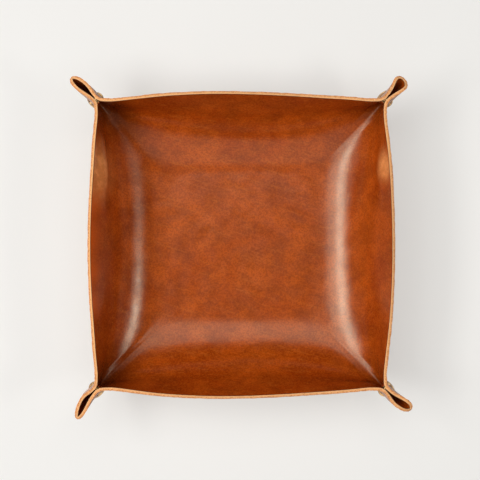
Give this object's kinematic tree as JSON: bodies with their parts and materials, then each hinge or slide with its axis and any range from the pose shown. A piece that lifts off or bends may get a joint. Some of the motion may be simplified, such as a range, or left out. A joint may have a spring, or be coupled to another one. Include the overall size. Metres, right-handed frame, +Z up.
{
  "type": "valet tray",
  "caption": "Square leather valet tray whose corners are pinched up by brass snaps into leaning walls with small ears; each snap opens.",
  "frame": {"origin": "centre of the flat underside, on the table", "axes": "+Z up, +Y towards the back wall, +X towards the right wall"},
  "size_m": [0.2788, 0.2788, 0.0594],
  "materials": {
    "leather": "waxed cognac grain side, pale suede flesh side, raw cut edge",
    "brass": "antique brass, satin",
    "spring_bronze": "bright drawn wire"
  },
  "bodies": {
    "leather_sheet": {"leather": "leather"},
    "cap_side_back_right": {"cap_back_right": "brass", "socket_back_right": "brass", "socket_spring_back_right": "spring_bronze"},
    "post_side_back_right": {"stud_back_right": "brass", "post_back_right": "brass"},
    "cap_side_back_left": {"cap_back_left": "brass", "socket_back_left": "brass", "socket_spring_back_left": "spring_bronze"},
    "post_side_back_left": {"stud_back_left": "brass", "post_back_left": "brass"},
    "cap_side_front_left": {"cap_front_left": "brass", "socket_front_left": "brass", "socket_spring_front_left": "spring_bronze"},
    "post_side_front_left": {"stud_front_left": "brass", "post_front_left": "brass"},
    "cap_side_front_right": {"cap_front_right": "brass", "socket_front_right": "brass", "socket_spring_front_right": "spring_bronze"},
    "post_side_front_right": {"stud_front_right": "brass", "post_front_right": "brass"}
  },
  "joints": [
    {"name": "unsnap_back_right", "type": "slide", "parent": "leather_sheet", "child": "cap_side_back_right", "axis": [-0.7071, 0.7071, 0], "range_m": [0, 0.006], "deforming": ["leather", "socket_spring_back_right"]},
    {"name": "spread_back_right", "type": "slide", "parent": "leather_sheet", "child": "post_side_back_right", "axis": [0.7071, -0.7071, 0], "range_m": [0, 0.006], "deforming": ["leather", "socket_spring_back_right"]},
    {"name": "unsnap_back_left", "type": "slide", "parent": "leather_sheet", "child": "cap_side_back_left", "axis": [-0.7071, -0.7071, 0], "range_m": [0, 0.006], "deforming": ["leather", "socket_spring_back_left"]},
    {"name": "spread_back_left", "type": "slide", "parent": "leather_sheet", "child": "post_side_back_left", "axis": [0.7071, 0.7071, 0], "range_m": [0, 0.006], "deforming": ["leather", "socket_spring_back_left"]},
    {"name": "unsnap_front_left", "type": "slide", "parent": "leather_sheet", "child": "cap_side_front_left", "axis": [0.7071, -0.7071, 0], "range_m": [0, 0.006], "deforming": ["leather", "socket_spring_front_left"]},
    {"name": "spread_front_left", "type": "slide", "parent": "leather_sheet", "child": "post_side_front_left", "axis": [-0.7071, 0.7071, 0], "range_m": [0, 0.006], "deforming": ["leather", "socket_spring_front_left"]},
    {"name": "unsnap_front_right", "type": "slide", "parent": "leather_sheet", "child": "cap_side_front_right", "axis": [0.7071, 0.7071, 0], "range_m": [0, 0.006], "deforming": ["leather", "socket_spring_front_right"]},
    {"name": "spread_front_right", "type": "slide", "parent": "leather_sheet", "child": "post_side_front_right", "axis": [-0.7071, -0.7071, 0], "range_m": [0, 0.006], "deforming": ["leather", "socket_spring_front_right"]}
  ],
  "couplings": [
    {"joint": "spread_back_right", "follows": "unsnap_back_right", "ratio": 1},
    {"joint": "spread_back_left", "follows": "unsnap_back_left", "ratio": 1},
    {"joint": "spread_front_left", "follows": "unsnap_front_left", "ratio": 1},
    {"joint": "spread_front_right", "follows": "unsnap_front_right", "ratio": 1}
  ]
}
